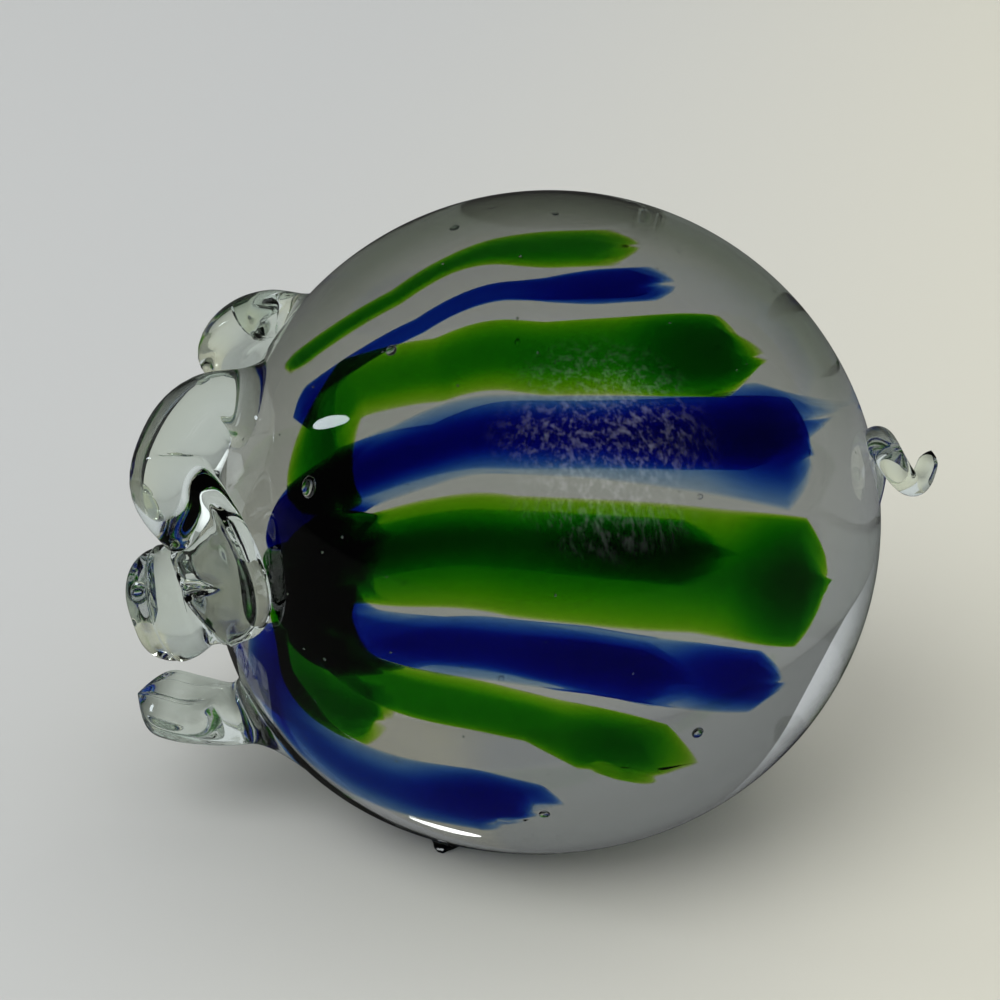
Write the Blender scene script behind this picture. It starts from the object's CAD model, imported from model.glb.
import math
import bpy
import numpy as np
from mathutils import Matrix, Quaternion, Vector


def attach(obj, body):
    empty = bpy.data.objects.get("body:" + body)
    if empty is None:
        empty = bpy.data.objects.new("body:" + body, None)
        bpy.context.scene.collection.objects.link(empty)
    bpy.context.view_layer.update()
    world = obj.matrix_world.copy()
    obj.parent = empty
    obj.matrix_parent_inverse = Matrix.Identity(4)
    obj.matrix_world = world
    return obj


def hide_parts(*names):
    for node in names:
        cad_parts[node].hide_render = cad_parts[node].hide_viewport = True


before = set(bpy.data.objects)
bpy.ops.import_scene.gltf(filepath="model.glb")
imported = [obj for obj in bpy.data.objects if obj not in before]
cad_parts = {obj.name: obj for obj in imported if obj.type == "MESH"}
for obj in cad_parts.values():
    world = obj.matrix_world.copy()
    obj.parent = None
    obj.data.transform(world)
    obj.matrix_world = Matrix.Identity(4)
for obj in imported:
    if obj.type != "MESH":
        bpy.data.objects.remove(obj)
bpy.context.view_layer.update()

# Sizes in millimetres, from the middle of the ball. The pig faces -X, its left side is -Y.
BALL = 38.0
FOOT = 16.0
FOOT_DEPTH = math.sqrt(BALL**2 - FOOT**2)
FOOT_EDGE = 0.22
CHEST_SWELL = 3.2
CHEST_DROP = math.radians(42)
CHEST_SHARPNESS = 4
CHEST_WAY = np.array([-math.cos(CHEST_DROP), 0.0, -math.sin(CHEST_DROP)])
METRES = 0.001


def unit(v):
    return v / np.linalg.norm(v, axis=-1, keepdims=True)


def ramp(x, low, high):
    """0 below low, 1 above high, and a smooth step between."""
    t = np.clip((x - low) / (high - low), 0, 1)
    return t * t * (3 - 2 * t)


def hump(x, low, high):
    """A squared half sine: 0 at low and high, 1 midway."""
    return np.sin(np.pi * np.clip((x - low) / (high - low), 0, 1)) ** 2


def mix(a, b, t):
    """a where t is 0, b where t is 1, and in proportion between."""
    return a + (b - a) * t


def wander(x, seed, waves=5):
    """A smooth wandering value about 0, within 1: a sum of sines with seeded phases and falling sizes."""
    source = np.random.default_rng(seed)
    total = 0
    for k in range(1, waves + 1):
        total = total + np.sin(x * k * (1 + 0.3 * source.random()) + 6.3 * source.random()) / k
    return total / 1.8


def body_reach(facing):
    """Distance to the glass skin: the ball's radius, plus a swell that falls off round the chest by a
    power of the cosine of the angle from its way."""
    return BALL + CHEST_SWELL * np.maximum(0, facing @ CHEST_WAY) ** CHEST_SHARPNESS


def height_over_body(points):
    return np.linalg.norm(points, axis=-1) - body_reach(unit(points))


def add_mesh(name, points, quads, triangles):
    """A smooth mesh from points in mm from the ball's middle. Its faces are all turned over where the
    sum of a . (b x c) over its triangles, six times the volume, is below zero."""
    corners = np.concatenate([quads[:, [0, 1, 2]], quads[:, [0, 2, 3]], triangles])
    a, b, c = (points[corners[:, k]] for k in range(3))
    order = -1 if np.einsum("ij,ij->", a, np.cross(b, c)) < 0 else 1
    faces = [face[::order] for face in quads.tolist() + triangles.tolist()]
    mesh = bpy.data.meshes.new(name)
    mesh.from_pydata(((points + [0, 0, FOOT_DEPTH]) * METRES).tolist(), [], faces)
    mesh.shade_smooth()
    piece = bpy.data.objects.new(name, mesh)
    bpy.context.scene.collection.objects.link(piece)
    return piece


def closed_skin(name, rings):
    """A closed surface through rings of points (ring, round, xyz), each end closed by a fan to its middle."""
    count, around = rings.shape[:2]
    points = np.concatenate([rings.reshape(-1, 3), rings[0].mean(0)[None], rings[-1].mean(0)[None]])
    start = np.arange(count - 1)[:, None] * around
    j = np.arange(around)
    k = (j + 1) % around
    quads = np.stack([start + j, start + k, start + around + k, start + around + j], -1).reshape(-1, 4)
    first = np.stack([np.full(around, count * around), k, j], -1)
    last_start = (count - 1) * around
    last = np.stack([np.full(around, count * around + 1), last_start + j, last_start + k], -1)
    return add_mesh(name, points, quads, np.concatenate([first, last]))


def linear(colour):
    """sRGB hex to linear red, green and blue, and a full alpha."""
    channels = [int(colour[k : k + 2], 16) / 255 for k in (0, 2, 4)]
    return [c / 12.92 if c <= 0.04045 else ((c + 0.055) / 1.055) ** 2.4 for c in channels] + [1.0]


def add_node(tree, kind, inputs=None, **settings):
    """One node: settings are its properties, inputs its sockets, each given a value or another socket."""
    made = tree.nodes.new(kind)
    for key, value in settings.items():
        setattr(made, key, value)
    for key, value in (inputs or {}).items():
        if isinstance(value, bpy.types.NodeSocket):
            tree.links.new(value, made.inputs[key])
        else:
            made.inputs[key].default_value = value
    return made


def new_material(name):
    material = bpy.data.materials.new(name)
    material.use_nodes = True
    material.node_tree.nodes.clear()
    return material, material.node_tree


# Slow cords in the clear glass, in mm from one to the next and in the height that they seem to have
CORD_SPACING, CORD_HEIGHT = 18.2, 0.6
# Where the clear glass turns to its edge tint: how far it is turned from the eye, and then in metres
# how far behind the face and how high up
TURNED_AWAY = (0.38, 0.72)
BEHIND_FACE = (-0.034, -0.018)
HIGH_UP = (0.046, 0.060)


def clear_glass(name, face_tint, edge_tint):
    """Soda-lime glass, gathered hot and fire polished: its skin is mirror smooth, and slow cords bend
    what shows through it. High on the body its grey-green gathers where it is seen edge on."""
    material, tree = new_material(name)
    place = add_node(tree, "ShaderNodeTexCoord").outputs["Object"]
    cords = add_node(tree, "ShaderNodeTexNoise", {
        "Vector": place, "Scale": 1 / (CORD_SPACING * METRES), "Detail": 1.0,
    })
    bump = add_node(tree, "ShaderNodeBump", {
        "Height": cords.outputs[0], "Strength": 0.06, "Distance": CORD_HEIGHT * METRES,
    })
    facing = add_node(tree, "ShaderNodeLayerWeight", {"Blend": 0.5}).outputs["Facing"]
    axes = add_node(tree, "ShaderNodeSeparateXYZ", {"Vector": place}).outputs
    edge_share = 1.0
    for value, (low, high) in ((facing, TURNED_AWAY), (axes["X"], BEHIND_FACE), (axes["Z"], HIGH_UP)):
        step = add_node(tree, "ShaderNodeMapRange", {
            "Value": value, "From Min": low, "From Max": high,
        }, interpolation_type="SMOOTHSTEP")
        edge_share = add_node(tree, "ShaderNodeMath", {
            0: edge_share, 1: step.outputs[0],
        }, operation="MULTIPLY").outputs[0]
    tint = add_node(tree, "ShaderNodeMix", {
        0: edge_share, 6: linear(face_tint), 7: linear(edge_tint),
    }, data_type="RGBA")
    surface = add_node(tree, "ShaderNodeBsdfPrincipled", {
        "Base Color": tint.outputs[2],
        "Roughness": 0.0,
        "IOR": 1.5,
        "Transmission Weight": 1.0,
        "Normal": bump.outputs[0],
    })
    add_node(tree, "ShaderNodeOutputMaterial", {"Surface": surface.outputs[0]})
    return material


# Streaks drawn along the coloured rods, in mm
STREAK_WIDTH, STREAK_LENGTH, STREAK_HEIGHT = 1.43, 11.9, 0.3


def rod_glass(name, passes, density):
    """Coloured glass rod, softened and pressed on the core: it takes light by its thickness, at the
    given density to the metre, so thin edges glow and thick middles go near black. The clear glass
    wets it, so its own skin hardly bends or mirrors light, and drawing left fine streaks along it."""
    material, tree = new_material(name)
    place = add_node(tree, "ShaderNodeTexCoord").outputs["Object"]
    along = add_node(tree, "ShaderNodeMapping", {
        "Vector": place, "Scale": (STREAK_WIDTH / STREAK_LENGTH, 1.0, 1.0),
    })
    streaks = add_node(tree, "ShaderNodeTexNoise", {
        "Vector": along.outputs[0], "Scale": 1 / (STREAK_WIDTH * METRES), "Detail": 2.0,
    })
    bump = add_node(tree, "ShaderNodeBump", {
        "Height": streaks.outputs[0], "Strength": 0.5, "Distance": STREAK_HEIGHT * METRES,
    })
    surface = add_node(tree, "ShaderNodeBsdfPrincipled", {
        "Base Color": linear("ffffff"),
        "Roughness": 0.0,
        "IOR": 1.003,
        "Transmission Weight": 1.0,
        "Normal": bump.outputs[0],
    })
    absorb = add_node(tree, "ShaderNodeVolumeAbsorption", {"Color": linear(passes), "Density": density})
    add_node(tree, "ShaderNodeOutputMaterial", {"Surface": surface.outputs[0], "Volume": absorb.outputs[0]})
    return material


def fused_joint():
    """Where two clear pieces are melted together there is no surface left to see."""
    material, tree = new_material("fused_joint")
    through = add_node(tree, "ShaderNodeBsdfTransparent", {"Color": linear("ffffff")})
    add_node(tree, "ShaderNodeOutputMaterial", {"Surface": through.outputs[0]})
    return material


# The thick ball takes more light than the limbs, which were drawn thin
body_glass = clear_glass("clear_soda_lime_glass", "aaadaa", "707c69")
limb_glass = clear_glass("clear_drawn_glass", "dfe7df", "bfcbbc")
rod_glasses = {
    "green": rod_glass("chrome_green_glass", "daf500", 5100.0),
    "blue": rod_glass("cobalt_blue_glass", "00aff2", 2750.0),
}
joint = fused_joint()

# A small nub of glass left under the ball: the way to it, its height and its radius
NUB_WAY = unit(np.array([-0.25, -0.44, -0.86]))
NUB_HEIGHT, NUB_RADIUS = 1.8, 1.1


def body_rings():
    """Directions on a grid of polar angle from straight down and angle round, each at the skin's reach,
    with rings crowded at the foot's edge. The ground foot is a plane; a soft minimum of plane and ball
    rounds the edge between them. The nub is a flat-topped bell added to the ball."""
    polar = np.radians(np.concatenate([
        np.linspace(0.3, 20, 8), np.linspace(20.6, 36, 34), np.linspace(37, 179.7, 110),
    ]))
    turn = np.linspace(0, 2 * np.pi, 192, endpoint=False)
    polar, turn = np.meshgrid(polar, turn, indexing="ij")
    facing = np.stack([np.sin(polar) * np.cos(turn), np.sin(polar) * np.sin(turn), -np.cos(polar)], -1)
    from_nub = np.linalg.norm(facing - NUB_WAY, axis=-1) * BALL / NUB_RADIUS
    ball = body_reach(facing) + NUB_HEIGHT * np.exp(-(from_nub**4))
    foot = FOOT_DEPTH / np.maximum(np.cos(polar), 0.05)
    least = np.minimum(ball, foot)
    blend = np.exp((least - ball) / FOOT_EDGE) + np.exp((least - foot) / FOOT_EDGE)
    rings = facing * (least - FOOT_EDGE * np.log(blend))[..., None]
    rings[..., 2] = np.maximum(rings[..., 2], -FOOT_DEPTH)
    return rings


# The core's own line runs from its neck under the snout (-) to its blunt end near the tail (+)
CORE_TILT = math.radians(-2.4)
CORE_YAW = math.radians(6.8)
CORE_NECK, CORE_WAIST, CORE_TAIL = -21.6, -4.0, 30.0
CORE_RADIUS = 18.6
CORE_FLARE = 0.145
NECK_SQUARENESS, TAIL_SQUARENESS = 1.95, 8.0
NECK_DROP = 4.4
TAILWARD = np.array([
    math.cos(CORE_TILT) * math.cos(CORE_YAW),
    math.sin(CORE_YAW),
    math.sin(CORE_TILT) * math.cos(CORE_YAW),
])
SIDEWARD = unit(np.array([0.0, -1.0, 0.0]) + TAILWARD[1] * TAILWARD)
BACKWARD = np.cross(TAILWARD, SIDEWARD) * np.sign(np.cross(TAILWARD, SIDEWARD)[2])


def core_radius(station):
    """The core is a barrel that flares towards the tail, rounded at each end like a superellipse."""
    headward = station < CORE_WAIST
    share = np.where(headward, (CORE_WAIST - station) / (CORE_WAIST - CORE_NECK),
                     (station - CORE_WAIST) / (CORE_TAIL - CORE_WAIST))
    power = np.where(headward, NECK_SQUARENESS, TAIL_SQUARENESS)
    return (CORE_RADIUS + CORE_FLARE * station) * (1 - np.clip(share, 0, 1) ** power) ** (1 / power)


def outline_table():
    """The core's outline as stations and radii, crowded at its ends, with the distance run along it
    from the neck, and how fast the station and the radius change with that distance."""
    eased = np.sin(np.linspace(0, np.pi / 2, 2000)) ** 0.8
    station = np.unique(np.concatenate([
        CORE_WAIST - (CORE_WAIST - CORE_NECK) * eased,
        CORE_WAIST + (CORE_TAIL - CORE_WAIST) * eased,
    ]))
    radius = core_radius(station)
    run = np.concatenate([[0], np.cumsum(np.hypot(np.diff(station), np.diff(radius)))])
    return station, radius, run, np.gradient(station, run), np.gradient(radius, run)


STATION, RADIUS, RUN, STATION_SLOPE, RADIUS_SLOPE = outline_table()


def core_point(run, round_angle, lift):
    """A point over the core: run is the distance in mm along its outline from the neck,
    round_angle is 0 on the pig's left side and 90 on its back, lift is the height over the core.
    Towards the neck the whole section drops, because the neck points down to the snout."""
    along, out = np.interp(run, RUN, STATION_SLOPE), np.interp(run, RUN, RADIUS_SLOPE)
    steep = np.hypot(along, out)
    station = np.interp(run, RUN, STATION) - lift * out / steep
    radius = np.interp(run, RUN, RADIUS) + lift * along / steep
    angle = np.radians(round_angle)
    point = (
        station[..., None] * TAILWARD
        + (radius * np.cos(angle))[..., None] * SIDEWARD
        + (radius * np.sin(angle))[..., None] * BACKWARD
    )
    point[..., 2] -= NECK_DROP * ramp(-station, -CORE_WAIST, -CORE_NECK)
    return point


# Twelve stripes, green and blue in turn: name, glass, bulk, the runs where it starts and was torn off,
# how ragged the tear is and how much sooner it comes at the low edge, and rows of run, degrees round the
# core, half width in degrees, and the height in mm off the core at its low and its high edge
STRIPES = [
    ("green_flank", "green", 1.2, 2, 60.6, 1.0, 0, [
        (0, 24, 30, 0, 0), (8, 26, 28, 0, 0), (14, 20, 18, 0, 0),
        (28, 14.5, 17.5, 0, 0), (45, 14, 17, 0, 0), (61, 10, 20, 0, 0),
    ]),
    ("blue_flank", "blue", 0.8, 10.5, 57.4, 0.8, 0, [
        (0, 56, 20, 0, 0), (8, 56, 18, 0, 1), (12, 57, 15, 0, 2),
        (20, 50, 11, 0, 0), (40, 48, 12, 0, 0), (58, 47, 17, 0, 0),
    ]),
    ("green_shoulder", "green", 0.9, 5, 48.6, 2.2, -2, [
        (0, 84, 20, -2, -2), (9, 85, 16, 0.5, 2.5), (15, 86, 13, 3.2, 5.2),
        (21, 80, 13, 0, 1.2), (30, 76, 14, 0, 0), (51, 76, 15, 0, 0),
    ]),
    ("blue_back", "blue", 0.6, 10, 39.6, 1.6, 0, [
        (0, 114, 12, 0, 0), (12, 112, 8, 3.4, 3.4), (20, 110, 6, 0.8, 0.8),
        (30, 110, 7, 0, 0), (42, 110, 9, 0, 0),
    ]),
    ("green_back", "green", 0.5, 13, 36.0, 1.6, 0, [
        (0, 138, 12, 0, 0), (12, 134, 7, 5.5, 5.5), (20, 132, 5, 3, 3), (37, 134, 4, 2, 2),
    ]),
    ("blue_far_back", "blue", 0.9, 2, 46.0, 1.0, 0, [
        (0, 176, 18, 0, 0), (12, 184, 11, 0, 0), (20, 187, 8, 0, 0), (46, 187, 8, 0, 0),
    ]),
    ("green_far_shoulder", "green", 1.2, 2, 42.0, 1.0, 0, [
        (0, 208, 16, 0, 0), (12, 209, 10, 0, 0), (20, 209, 6, 0, 0), (42, 210, 6, 0, 0),
    ]),
    ("blue_far_flank", "blue", 0.8, 2, 40.0, 1.0, 0, [
        (0, 234, 14, 0, 0), (12, 238, 12, 0, 0), (18, 236, 8, 0, 0), (24, 232, 6, 0, 0), (40, 234, 6, 0, 0),
    ]),
    ("green_far_belly", "green", 0.8, 2, 19.0, 1.0, 0, [
        (0, 262, 16, 0, 0), (10, 262, 11, 1, 1), (26, 262, 9, 0, 0),
    ]),
    ("blue_foot", "blue", 0.45, 5, 33.0, 1.2, 4, [
        (0, 294, 12, 0, 0), (9, 291, 22, 7, 4.5), (16, 294, 17, 7, 4.5),
        (26, 290, 16, 6.5, 3.5), (37, 290, 12, 6, 3.5),
    ]),
    ("green_belly", "green", 0.75, 2, 45.2, 0.8, 9, [
        (0, 322, 18, 0, 0), (12, 326, 15, 0, 0.5), (30, 320, 12, 0, 0),
        (36, 316, 14, 1.5, 0), (46, 303, 21, 8, 0),
    ]),
    ("blue_belly", "blue", 0.8, 7, 54.6, 1.2, 0, [
        (0, 352, 14, 0, 0), (12, 351, 11, 0, 0.5), (22, 345, 11, 0, 0),
        (35, 345.5, 11, 0, 0), (56, 341, 11, 0, 0),
    ]),
]
# How much of its bulk a stripe still has at its low edge: the blue rods were pressed on the slant
LOW_EDGE = {"green": 1.0, "blue": 0.25}
# A stripe's height outward and inward as shares of its bulk: along the barrel, at the neck, at the tear
OUTWARD = (0.8, 0.5, 1.9)
INWARD = (0.4, 6.0, 2.0)
# The ridge in a stripe's middle: its height outward and inward as shares of the bulk, and its width
RIDGE_OUT, RIDGE_IN, RIDGE_WIDTH = 0.6, 0.9, 0.45
# The runs over which the neck ends, later at a stripe's edges, and how far from the tear its blob grows
NECK_END, NECK_CURVE = (12, 17), 5
BLOB_START, BLOB_FULL = 13, 5
LEAST_LIFT = 0.1


def stripe_rings(low_edge, bulk, start, end, ragged, slant, rows, seed):
    """A rod with a lens-shaped section, half an ellipse on each side, and a bell-shaped ridge in its
    middle, laid along the core: thick where all are squeezed together at the neck, flatter along the
    barrel, then a thick blob torn off unevenly. Across is 1 at its high edge and -1 at its low one."""
    share = np.linspace(0, 1, 84)[:, None]
    j = np.arange(44)[None, :]
    outside = j < 22
    across = np.where(outside, 1 - 2 * j / 21, -1 + 2 * (j - 21) / 23)
    torn = end + ragged * wander(4 * across, seed) - slant * (1 - across) / 2
    run = mix(start, torn, share)
    knots = np.array(rows, dtype=float)
    angle, half, low, high = (np.interp(run, knots[:, 0], knots[:, k]) for k in (1, 2, 3, 4))
    tip = np.sqrt(np.minimum(1, 16 * (1 - share) + 0.03) * np.minimum(1, 16 * share + 0.4))
    half = half * tip * (1 + 0.04 * wander(5 * share, seed + 50))
    neck = 1 - ramp(run + NECK_CURVE * (1 - across**2), *NECK_END)
    blob = ramp(run, end - BLOB_START, end - BLOB_FULL)
    bulk = bulk * tip * mix(mix(low_edge, 1, ramp(across, -1, 0.4)), 1, neck)
    lens = np.sqrt(np.maximum(0, 1 - across**2)) * bulk
    ridge = np.exp(-((across / RIDGE_WIDTH) ** 2)) * bulk
    outward, inward = (
        mix(mix(barrel, at_neck, neck), at_tear, blob)
        for barrel, at_neck, at_tear in (OUTWARD, INWARD)
    )
    outer = lens * outward + RIDGE_OUT * (1 - neck) * ridge + LEAST_LIFT
    inner = -lens * inward - RIDGE_IN * ridge
    lift = mix(low, high, (across + 1) / 2) + np.where(outside, outer, inner)
    return core_point(run, angle + half * across, lift)


def smooth_path(points, share):
    """A centripetal Catmull-Rom curve through the points: each span is a cubic that leaves and arrives
    along its neighbours' chords, weighted by the square roots of their lengths."""
    ends = np.concatenate([2 * points[:1] - points[1:2], points, 2 * points[-1:] - points[-2:-1]])
    gap = np.sqrt(np.linalg.norm(np.diff(ends, axis=0), axis=1))
    place = share * (len(points) - 1)
    span = np.clip(place.astype(int), 0, len(points) - 2)
    t = (place - span)[:, None]
    before, here, after = (gap[span + k][:, None] for k in range(3))
    p, q, r, s = (ends[span + k] for k in range(4))
    leave = here * ((q - p) / before - (r - p) / (before + here) + (r - q) / here)
    arrive = here * ((r - q) / here - (s - q) / (here + after) + (s - r) / after)
    bend = -3 * q + 3 * r - 2 * leave - arrive
    turn = 2 * q - 2 * r + leave + arrive
    return q + t * (leave + t * (bend + t * turn))


# Inside a bend a section reaches at most this share of the way to the bend's middle
BEND_SHARE = 0.8


def limb_rings(middles, out, width, height):
    """Sections along a path of middles: width runs across it, and height along out made square to it.
    Inside a tight bend the sections are flattened, by a hyperbolic tangent of their reach, before they
    come to the bend's middle and cross."""
    step = np.linalg.norm(np.gradient(middles, axis=0), axis=-1, keepdims=True)
    forward = unit(np.gradient(middles, axis=0))
    curve = (np.gradient(forward, axis=0) / step)[:, None]
    out = unit(out - np.sum(out * forward, -1, keepdims=True) * forward)
    across = np.cross(out, forward)
    offset = width[..., None] * across[:, None] + height[..., None] * out[:, None]
    inward = np.maximum(0, np.sum(offset * curve, -1, keepdims=True))
    kept = BEND_SHARE * np.tanh(inward / BEND_SHARE)
    offset = offset - (inward - kept) * curve / np.maximum(np.sum(curve**2, -1, keepdims=True), 1e-9)
    return middles[:, None] + offset


# A fillet starts this far under the skin, and dies away this close to the limb's middle, in mm
FILLET_SINK, FILLET_CORE = 0.12, 0.4


def spread_root(rings, middles, share, reach, fillet, stretch=(0, 0, 0)):
    """Widens a limb near the body's skin like a quarter-round fillet of that radius in mm, more so
    where it faces along stretch, so that it seems to have flowed out of the body. The widening fades
    out by the share of the limb's length given as reach."""
    up = np.clip(height_over_body(rings) + FILLET_SINK, 0, fillet)
    extra = fillet - np.sqrt(np.maximum(0, fillet**2 - (fillet - up) ** 2))
    extra = extra * (1 - ramp(share, 0.5 * reach, reach))[:, None]
    radial = unit(rings)
    sideways = rings - middles[:, None]
    sideways = sideways - np.sum(sideways * radial, -1, keepdims=True) * radial
    sideways = sideways / (np.linalg.norm(sideways, axis=-1, keepdims=True) + FILLET_CORE)
    more = 1 + np.maximum(0, sideways @ np.array(stretch, dtype=float))
    moved = rings + (extra * more)[..., None] * sideways
    return unit(moved) * (body_reach(unit(moved)) + height_over_body(rings))[..., None]


def crowded(count, root, first):
    """Shares from 0 to almost 1 for rings: the first ones crowd within root, the last ones near 1."""
    near = np.linspace(0, root, first, endpoint=False)
    rest = root + (0.9995 - root) * np.sin(np.linspace(0, np.pi / 2, count - first))
    return np.concatenate([near, rest])


# Each ear's side, the share of its thickness that its root has, its thickness in mm at the fold and in
# the flap, and its path: the way forward, outward and up from the ball's middle, and mm over the skin
LEFT_EAR = {
    "side": -1, "root": 0.55, "fold": 10.0, "flap": 5.4,
    "path": [
        (30, 8.5, 17, -3), (36, 10, 15.6, 3.2), (39, 14.5, 9.6, 5.6),
        (34.6, 20.3, 6.6, 4), (31.6, 25, 2, 3), (31.8, 25.5, -5.5, 2.6),
    ],
}
RIGHT_EAR = {
    "side": 1, "root": 0.8, "fold": 6.0, "flap": 3.6,
    "path": [
        (29, 13, 20, -3), (36, 13.5, 19, 4), (39.5, 14.5, 15.5, 7),
        (37, 18, 11, 5), (35, 21, 6.5, 3), (34, 22, 1.5, 2.2),
    ],
}
EAR_WIDTH = 12.0
EAR_DISH = 2.0
# Lines that drawing left in the flap: their height in mm, and the radians that their cosine runs
# through from its middle to its rim
LINE_HEIGHT, LINE_ANGLE = 0.06, 16


def ear_rings(ear):
    """A thick leaf of glass that leaves the head, rises to a fold and hangs as a flap: round sections
    go to flat ones, narrow at the fold. The flap's outer face is dished, with a rim left round it, and
    its drawn lines are a cosine of how near the rim they lie."""
    rows = np.array(ear["path"], dtype=float)
    facing = unit(rows[:, :3] * [-1, ear["side"], 1])
    shares = crowded(count=120, root=0.2, first=44)
    middles = smooth_path(facing * (body_reach(facing) + rows[:, 3])[:, None], shares)
    flap_way = unit(np.array([-0.4, 0.9 * ear["side"], 0.1]))
    out = mix(unit(middles), flap_way, ramp(shares, 0.3, 0.7)[:, None])
    share = shares[:, None]
    turn = np.linspace(0, 2 * np.pi, 72, endpoint=False)[None, :]
    cosine, sine = np.cos(turn), np.sin(turn)
    tip = np.sqrt(np.maximum(0.001, 1 - ramp(share, 0.78, 1) ** 2))
    thickness = mix(ear["fold"], ear["flap"], ramp(share, 0.4, 0.65)) * (1 - 0.2 * hump(share, 0.42, 0.7))
    thickness = thickness * mix(ear["root"], 1, ramp(share, 0.02, 0.3))
    width = EAR_WIDTH / 2 * mix(0.85, 1, ramp(share, 0, 0.4)) * tip
    bowl = ramp(share, 0.52, 0.68) * (1 - ramp(share, 0.84, 0.96))
    dish = EAR_DISH * bowl * ramp(sine, 0, 0.7) * ramp(1 - np.abs(cosine), 0.05, 0.6)
    near_rim = np.maximum(np.abs(cosine), ramp(share, 0.5, 1.05))
    drawn = LINE_HEIGHT * np.cos(LINE_ANGLE * near_rim) * bowl * ramp(sine, 0, 0.5)
    rings = limb_rings(middles, out, width * cosine, thickness / 2 * tip * sine - dish + drawn)
    return spread_root(rings, middles, shares, reach=0.3, fillet=2.6)


# The forelegs: how far to the side they stand, and how far ahead and down the way to the root points
LEG_SIDE, LEG_AHEAD, LEG_DROP = 12.5, 35.0, 22.4
# Seen from the side, how far the paw's tip lies below the ball's middle and out past the ball
PAW_DROP, PAW_REACH = 19.4, 12.6
ANKLE_WIDTH, PAW_WIDTH, PAW_THICKNESS = 8.0, 12.0, 6.4
TOES, TOE_CRIMP = 3, 0.75


def leg_rings(side):
    """A flat paw on a narrower ankle: its two crimps part it into three toes, and lie where a cosine
    that runs once for each toe across the paw is least."""
    y = side * LEG_SIDE
    facing = unit(np.array([-LEG_AHEAD, y, -LEG_DROP]))
    root, ankle = facing * (BALL - 3.2), facing * (body_reach(facing) + 0.8)
    paw_tip = np.array([-math.sqrt((BALL + PAW_REACH) ** 2 - PAW_DROP**2), y, -PAW_DROP])
    instep = (ankle + paw_tip) / 2 - [0, 0, 0.8]
    shares = crowded(count=96, root=0.4, first=44)
    middles = smooth_path(np.array([root, ankle, instep, paw_tip]), shares)
    share = shares[:, None]
    turn = np.linspace(0, 2 * np.pi, 96, endpoint=False)[None, :]
    cosine, sine = np.cos(turn), np.sin(turn)
    tip = np.sqrt(np.maximum(0.001, 1 - ramp(share, 0.76, 1) ** 2))
    width = mix(ANKLE_WIDTH, PAW_WIDTH, ramp(share, 0.3, 0.75)) / 2 * tip
    between_toes = 1 - np.cos(TOES * np.pi * cosine)
    crimp = TOE_CRIMP * between_toes * ramp(share, 0.5, 0.78) * tip * sine
    upward = np.broadcast_to([0.0, 0, 1], middles.shape)
    rings = limb_rings(middles, upward, width * cosine, PAW_THICKNESS / 2 * tip * sine - crimp)
    return spread_root(rings, middles, shares, reach=0.75, fillet=3.2, stretch=(0.9, 0, -2.2))


# The snout's line, the reaches along it of its root, of its disc's back and of its face, and its radii
SNOUT_TILT = math.radians(16.8)
SNOUT_ROOT, DISC_BACK, SNOUT_FACE = BALL - 2, BALL + 5.5, BALL + 14
STALK_RADIUS, DISC_RADIUS = 5.9, 6.9
NOSTRIL_SIDE, NOSTRIL_DEPTH, NOSTRIL_RADIUS = 2.8, 1.9, 1.7


def snout_rings():
    """A turned button: the larger of a waisted stalk and a rounded disc, blended, round the snout's own
    line. Two dimples are pushed into its face, each a smooth bell."""
    snout_way = np.array([-math.cos(SNOUT_TILT), 0, -math.sin(SNOUT_TILT)])
    rise = np.array([-snout_way[2], 0, snout_way[0]])
    lean = np.linspace(-np.pi / 2, np.pi / 2, 90)
    disc_along = mix(DISC_BACK, SNOUT_FACE, (1 + np.sin(lean)) / 2)
    disc = DISC_RADIUS * np.cos(lean) ** 0.55
    stalk_along = mix(SNOUT_ROOT, DISC_BACK, np.linspace(0, 1, 60, endpoint=False))
    along = np.concatenate([stalk_along, disc_along[1:]])
    stalk = STALK_RADIUS + 0.2 * hump(along, BALL - 6, BALL + 6)
    stalk = np.where(along > (SNOUT_FACE + DISC_BACK) / 2, 0, stalk)
    radius = (stalk**8 + np.interp(along, disc_along, disc) ** 8) ** (1 / 8)
    radius[-1] = 0.05
    turn = np.linspace(0, 2 * np.pi, 96, endpoint=False)
    middles = along[:, None] * snout_way
    ring = np.cos(turn)[:, None] * [0, 1, 0] + np.sin(turn)[:, None] * rise
    rings = middles[:, None] + radius[:, None, None] * ring[None]
    for side in (-1, 1):
        nostril = SNOUT_FACE * snout_way + [0, side * NOSTRIL_SIDE, 0]
        gap = np.linalg.norm(rings - nostril, axis=-1)
        rings = rings - NOSTRIL_DEPTH * np.exp(-((gap / NOSTRIL_RADIUS) ** 2))[..., None] * snout_way
    share = (along - along[0]) / (along[-1] - along[0])
    return spread_root(rings, middles, share, reach=0.6, fillet=2.2)


# The tail: its height on the ball, its reach past it, its turns, the coil's radius and its thicknesses
TAIL_HEIGHT, TAIL_REACH = 9.0, 6.4
TAIL_TURNS, TAIL_COIL = 1.25, 3.1
TAIL_THICK, TAIL_THIN = 4.4, 2.2


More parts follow.
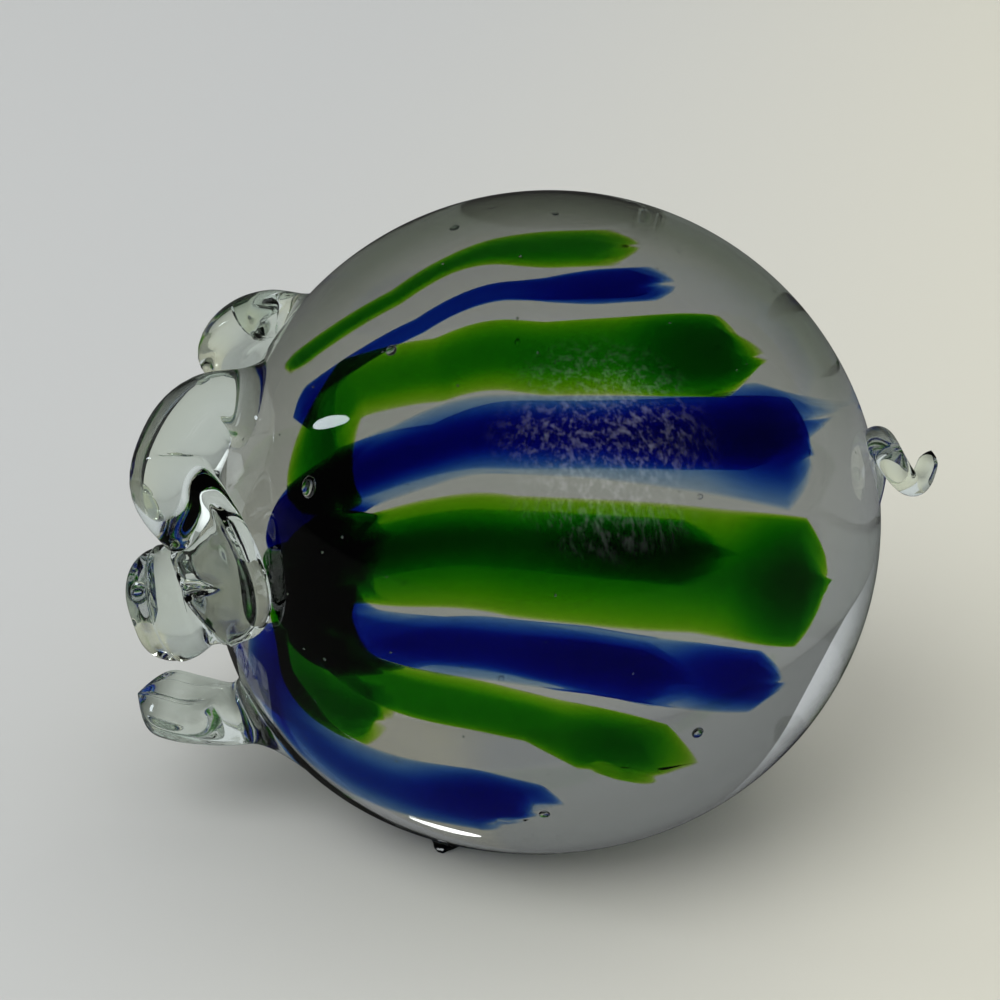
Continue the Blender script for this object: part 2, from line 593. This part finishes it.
def tail_rings():
    """A tapering trail of glass wound one and a quarter turns as it leaves the body: a helix that
    narrows, with round sections."""
    share = crowded(count=120, root=0.3, first=44)
    outward = unit(np.array([math.sqrt(BALL**2 - TAIL_HEIGHT**2), 0, TAIL_HEIGHT]))
    up = np.array([-outward[2], 0, outward[0]])
    angle = 2 * np.pi * TAIL_TURNS * share
    coil = TAIL_COIL * (1 - 0.25 * share)
    along = mix(BALL - TAIL_THICK / 2, BALL + TAIL_REACH, share)
    middles = along[:, None] * outward - (coil * np.cos(angle))[:, None] * up
    middles[:, 1] += coil * np.sin(angle)
    turn = np.linspace(0, 2 * np.pi, 40, endpoint=False)[None, :]
    tip = np.sqrt(np.maximum(0.002, 1 - ramp(share, 0.9, 1) ** 2))
    radius = (mix(TAIL_THICK, TAIL_THIN, share) / 2 * tip)[:, None]
    away = np.broadcast_to(outward, middles.shape)
    rings = limb_rings(middles, away, radius * np.cos(turn), radius * np.sin(turn))
    return spread_root(rings, middles, share, reach=0.3, fillet=1.2)


def cut_away(piece, cutter, folded):
    """Takes what lies inside the cutter out of the piece. The cut faces get the fused joint's material,
    and the edges round them are kept sharp so that the glass beside them stays smooth. A folded shape
    may touch itself, which the cut has to be told."""
    modifier = piece.modifiers.new("cut", "BOOLEAN")
    modifier.operation = "DIFFERENCE"
    modifier.solver = "EXACT"
    modifier.material_mode = "TRANSFER"
    modifier.object = cutter
    modifier.use_self = folded
    bpy.context.view_layer.update()
    depsgraph = bpy.context.evaluated_depsgraph_get()
    mesh = bpy.data.meshes.new_from_object(piece.evaluated_get(depsgraph))
    piece.modifiers.clear()
    piece.data = mesh
    mesh.shade_smooth()
    slots = np.zeros(len(mesh.polygons), dtype=np.int32)
    mesh.polygons.foreach_get("material_index", slots)
    counts = np.zeros(len(mesh.polygons), dtype=np.int32)
    mesh.polygons.foreach_get("loop_total", counts)
    edges = np.zeros(len(mesh.loops), dtype=np.int32)
    mesh.loops.foreach_get("edge_index", edges)
    glass = np.repeat(slots == 0, counts)
    beside = [np.bincount(edges[kind], minlength=len(mesh.edges)) for kind in (glass, ~glass)]
    mesh.edges.foreach_set("use_edge_sharp", (beside[0] > 0) & (beside[1] > 0))


# Core and casing are one clear glass, so one skin shows both. The limbs are cut a hair's breadth clear
# of it, so that no two skins fall together.
JOINT_GAP = 0.02

skin = closed_skin("body_skin", body_rings())
skin.data.materials.append(body_glass)
limbs = {
    "snout": snout_rings(),
    "ear_left": ear_rings(LEFT_EAR),
    "ear_right": ear_rings(RIGHT_EAR),
    "foreleg_left": leg_rings(-1),
    "foreleg_right": leg_rings(1),
    "tail": tail_rings(),
}
pieces = {name: closed_skin("glass_" + name, rings) for name, rings in limbs.items()}
body_cutter = closed_skin("cutter", body_rings() * (1 + JOINT_GAP / BALL))
body_cutter.data.materials.append(joint)
for name, piece in pieces.items():
    piece.data.materials.append(limb_glass)
    cut_away(piece, body_cutter, folded=name == "ear_left")
    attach(piece, "root")
    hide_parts(name)
bpy.data.objects.remove(body_cutter)
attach(skin, "root")
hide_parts("clear_casing", "clear_core")

for seed, (name, glass, *shape) in enumerate(STRIPES):
    stripe = closed_skin("glass_" + name, stripe_rings(LOW_EDGE[glass], *shape, seed))
    stripe.data.materials.append(rod_glasses[glass])
    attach(stripe, "root")
    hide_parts("stripe_" + name)


def beads(name, places, radii, turns, sides):
    """Small closed globes in one mesh: rings of points between two poles, joined by quads and fans."""
    lean = np.linspace(0, np.pi, turns + 1)[1:-1]
    turn = np.linspace(0, 2 * np.pi, sides, endpoint=False)
    ring = np.stack([
        np.sin(lean)[:, None] * np.cos(turn),
        np.sin(lean)[:, None] * np.sin(turn),
        np.broadcast_to(np.cos(lean)[:, None], (turns - 1, sides)),
    ], -1).reshape(-1, 3)
    globe = np.concatenate([ring, [[0, 0, 1.0], [0, 0, -1.0]]])
    points = (places[:, None] + radii[:, None] * globe[None]).reshape(-1, 3)
    j = np.arange(sides)
    k = (j + 1) % sides
    rows = np.arange(turns - 2)[:, None] * sides
    quads = np.stack([rows + j, rows + sides + j, rows + sides + k, rows + k], -1).reshape(-1, 4)
    last = (turns - 2) * sides
    top, bottom = np.full(sides, (turns - 1) * sides), np.full(sides, (turns - 1) * sides + 1)
    fans = np.concatenate([np.stack([top, j, k], -1), np.stack([bottom, last + k, last + j], -1)])
    shift = (np.arange(len(places)) * len(globe))[:, None, None]
    return add_mesh(name, points, (quads + shift).reshape(-1, 4), (fans + shift).reshape(-1, 3))


# Bubbles the size of a pinhead that show in the photograph: place in mm from the ball's middle and the
# three half sizes; then fine seed strewn through the outer gather
BUBBLES = np.array([
    (-21.6, -22.9, 13.0, 0.9, 0.9, 1.2),
    (-13.9, -15.9, 25.4, 0.6, 0.6, 0.6),
    (18.9, -26.2, -10.5, 0.65, 0.65, 0.65),
    (-9.9, 0.1, 32.5, 0.55, 0.55, 0.5),
    (0.3, 1.9, 33.9, 0.35, 0.35, 0.35),
    (3.2, -26.9, -20.5, 0.6, 0.6, 0.6),
])
SEEDS = 90
# The least and the most that a seed's distance from the middle and its radius can be
SEED_REACH, SEED_RADIUS = (27.5, 36.5), (0.07, 0.17)
# A way to a seed that points lower than this is raised to it and made one long again, so that fewer
# seeds lie straight over the foot
LOWEST_SEED = -0.8

source = np.random.default_rng(8)
seed_way = unit(source.normal(size=(SEEDS, 3)))
seed_way[:, 2] = np.maximum(seed_way[:, 2], LOWEST_SEED)
seed_places = unit(seed_way) * source.uniform(*SEED_REACH, (SEEDS, 1))
seed_radii = np.repeat(source.uniform(*SEED_RADIUS, (SEEDS, 1)), 3, axis=1)
# A bubble's wall is a skin of the same glass, but the air in it takes no light
trapped_air = clear_glass("trapped_air", "ffffff", "ffffff")
for name, places, radii, turns, sides in (
    ("air_bubbles", BUBBLES[:, :3], BUBBLES[:, 3:], 14, 24),
    ("fine_seed", seed_places, seed_radii, 5, 8),
):
    piece = beads(name, places, radii, turns, sides)
    piece.data.materials.append(trapped_air)
    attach(piece, "root")

# The set, in metres: how far the floor runs forward, back and to each side, the radius of its curve
# and the backdrop's height
FLOOR_FRONT, FLOOR_BACK, FLOOR_SIDE = -1.6, 1.2, 2.4
SWEEP_RADIUS = 0.8
BACKDROP_HEIGHT = 2.6


def floor_sweep():
    """A floor that curves up far behind into a backdrop: straight, a quarter turn, and straight up."""
    turn = np.linspace(0.1, np.pi / 2, 16)
    along = np.concatenate([
        np.linspace(FLOOR_FRONT, FLOOR_BACK, 8),
        FLOOR_BACK + SWEEP_RADIUS * np.sin(turn),
        [FLOOR_BACK + SWEEP_RADIUS],
    ])
    height = np.concatenate([np.zeros(8), SWEEP_RADIUS - SWEEP_RADIUS * np.cos(turn), [BACKDROP_HEIGHT]])
    across = np.linspace(-FLOOR_SIDE, FLOOR_SIDE, 5)
    shape = (across.size, along.size)
    points = np.stack([
        np.broadcast_to(across[:, None], shape),
        np.broadcast_to(along, shape),
        np.broadcast_to(height, shape),
    ], -1).reshape(-1, 3)
    i, j = np.meshgrid(np.arange(across.size - 1), np.arange(along.size - 1), indexing="ij")
    a = (i * along.size + j).ravel()
    quads = np.stack([a, a + along.size, a + along.size + 1, a + 1], -1)
    mesh = bpy.data.meshes.new("pale_floor")
    mesh.from_pydata(points.tolist(), [], quads.tolist())
    mesh.shade_smooth()
    piece = bpy.data.objects.new("pale_floor", mesh)
    bpy.context.scene.collection.objects.link(piece)
    return piece


# Where along the pig the paper turns from its cool tone to its warm one, in metres
PAPER_WARMS = (-0.10, 0.11)


def matt_paper():
    """Uncoated paper, matt all over and warmer towards the tail. Only what the glass mirrors of it is
    dark. A ray that is bent into glass also counts as glossy, so transmission is taken off that."""
    material, tree = new_material("matt_paper")
    place = add_node(tree, "ShaderNodeTexCoord").outputs["Object"]
    across = add_node(tree, "ShaderNodeSeparateXYZ", {"Vector": place}).outputs["X"]
    tailward = add_node(tree, "ShaderNodeMapRange", {
        "Value": across, "From Min": PAPER_WARMS[0], "From Max": PAPER_WARMS[1],
    }, interpolation_type="SMOOTHSTEP")
    tone = add_node(tree, "ShaderNodeMix", {
        0: tailward.outputs[0], 6: linear("c0c1be"), 7: linear("d6d3c1"),
    }, data_type="RGBA")
    ray = add_node(tree, "ShaderNodeLightPath").outputs
    mirrored = add_node(tree, "ShaderNodeMath", {
        0: ray["Is Glossy Ray"], 1: ray["Is Transmission Ray"],
    }, operation="SUBTRACT")
    sheet = add_node(tree, "ShaderNodeMix", {
        0: mirrored.outputs[0], 6: tone.outputs[2], 7: linear("363532"),
    }, data_type="RGBA")
    surface = add_node(tree, "ShaderNodeBsdfPrincipled", {"Base Color": sheet.outputs[2], "Roughness": 0.9})
    add_node(tree, "ShaderNodeOutputMaterial", {"Surface": surface.outputs[0]})
    return material


floor = floor_sweep()
floor.data.materials.append(matt_paper())

# The ways to the window and to the wall behind the pig, and how near to each, as a gap between ways,
# its light begins and is full
WINDOW_WAY, WINDOW_GAP = (0.390, -0.548, 0.740), (0.72, 0.2)
WALL_WAY, WALL_GAP = (-0.795, 0.589, 0.143), (0.42, 0.05)
# The noise values at which the window's light begins to come through its patches, and is full
PATCH_GAP = (0.46, 0.66)
# Levels of light: the window, the dark room as the glass mirrors it, the walls as they show through
# the glass and where they are brightest, and the walls as they light the floor
WINDOW_LEVEL, ROOM_LEVEL = 2.0, 0.02
WALL_LEVELS = (0.80, 1.5)
WALLS_ON_FLOOR = 0.75


def studio_world():
    """A dark room with a far window up and to the right of the camera: a soft bell of light round the
    window's way, broken into patches, for mirrored rays. Rays that have gone through the glass see
    pale walls, brighter low on the left behind the pig, and the floor is lit by evenly pale ones."""
    world = bpy.data.worlds.new("studio")
    bpy.context.scene.world = world
    world.use_nodes = True
    tree = world.node_tree
    tree.nodes.clear()
    facing = add_node(tree, "ShaderNodeTexCoord").outputs["Generated"]
    upright = add_node(tree, "ShaderNodeMapping", {"Vector": facing, "Scale": (1.0, 1.0, 0.4)})
    patches = add_node(tree, "ShaderNodeTexNoise", {
        "Vector": upright.outputs[0], "Scale": 25.0, "Detail": 8.0, "Roughness": 0.68,
    })
    from_window, from_wall = (
        add_node(tree, "ShaderNodeVectorMath", {0: facing, 1: way}, operation="DISTANCE").outputs["Value"]
        for way in (WINDOW_WAY, WALL_WAY)
    )
    bell, gaps, walls = (
        add_node(tree, "ShaderNodeMapRange", {
            "Value": value, "From Min": start, "From Max": full, "To Min": least, "To Max": most,
        }, interpolation_type="SMOOTHSTEP").outputs[0]
        for value, (start, full), (least, most) in (
            (from_window, WINDOW_GAP, (0.0, 1.0)),
            (patches.outputs[0], PATCH_GAP, (0.0, 1.0)),
            (from_wall, WALL_GAP, WALL_LEVELS),
        )
    )
    shine = add_node(tree, "ShaderNodeMath", {0: bell, 1: gaps}, operation="MULTIPLY")
    mirrored = add_node(tree, "ShaderNodeMath", {
        0: shine.outputs[0], 1: WINDOW_LEVEL, 2: ROOM_LEVEL,
    }, operation="MULTIPLY_ADD")
    ray = add_node(tree, "ShaderNodeLightPath").outputs
    seen = add_node(tree, "ShaderNodeMix", {0: ray["Is Transmission Ray"], 2: mirrored.outputs[0], 3: walls})
    level = add_node(tree, "ShaderNodeMix", {0: ray["Is Diffuse Ray"], 2: seen.outputs[0], 3: WALLS_ON_FLOOR})
    sky = add_node(tree, "ShaderNodeBackground", {"Color": linear("f7f9ff"), "Strength": level.outputs[0]})
    add_node(tree, "ShaderNodeOutputWorld", {"Surface": sky.outputs[0]})


studio_world()

# The lamps all point here, within a millimetre of the ball's middle
LAMP_AIM = Vector((0, 0, 0.035))


def add_lamp(name, place, size, power, colour="ffffff", roll=0, mirrored=False, through=False):
    """A soft lamp in metres and watts, turned to the object and rolled by degrees round its own line.
    Its image shows in the glass only where it is to be mirrored in the surface or seen through it."""
    lamp = bpy.data.lights.new(name, "AREA")
    lamp.shape = "ELLIPSE"
    lamp.size, lamp.size_y = size
    lamp.energy = power
    lamp.color = linear(colour)[:3]
    holder = bpy.data.objects.new(name, lamp)
    holder.location = place
    holder.rotation_mode = "QUATERNION"
    aim = (LAMP_AIM - Vector(place)).to_track_quat("-Z", "Y")
    holder.rotation_quaternion = aim @ Quaternion((0, 0, 1), math.radians(roll))
    holder.visible_glossy = mirrored
    holder.visible_transmission = through
    bpy.context.scene.collection.objects.link(holder)


add_lamp("key", (0.4, 0.9, 1.6), (1.8, 1.6), 4.5, "fffdf9")
add_lamp("fill", (-0.6, -0.9, 1.4), (1.6, 1.4), 16.5, "fbfdff")
add_lamp("high_window_behind", (0.23, 1.28, 0.93), (0.34, 0.12), 0.6, through=True)
add_lamp("window_ahead", (-1.29, 0.02, 0.58), (0.08, 0.38), 0.8, "edf7ff", roll=-45, mirrored=True)

# The camera stands where the photograph's seems to have stood: 8 degrees towards the tail, 25 degrees
# up and 0.35 m from the ball's middle
AZIMUTH, ELEVATION, DISTANCE = math.radians(8), math.radians(25), 0.350
# The sensor's width in mm, and the ball's radius as a share of the picture's width
SENSOR = 36
BALL_IN_PICTURE = 0.331
back = Vector((
    math.sin(AZIMUTH) * math.cos(ELEVATION),
    -math.cos(AZIMUTH) * math.cos(ELEVATION),
    math.sin(ELEVATION),
))
camera = bpy.data.objects.new("camera", bpy.data.cameras.new("camera"))
camera.location = Vector((0, 0, FOOT_DEPTH * METRES)) + back * DISTANCE
camera.rotation_mode = "QUATERNION"
camera.rotation_quaternion = (-back).to_track_quat("-Z", "Y")
camera.data.sensor_width = SENSOR
camera.data.lens = SENSOR * BALL_IN_PICTURE / math.tan(math.asin(BALL * METRES / DISTANCE))
camera.data.shift_x = -0.050
camera.data.shift_y = 0.021
camera.data.clip_start = 0.01
bpy.context.scene.collection.objects.link(camera)
bpy.context.scene.camera = camera

# Enough bounces for light to cross the ball, a stripe and a bubble and come out again
scene = bpy.context.scene
scene.view_settings.view_transform = "Standard"
scene.cycles.max_bounces = 24
scene.cycles.transmission_bounces = 24
scene.cycles.transparent_max_bounces = 32
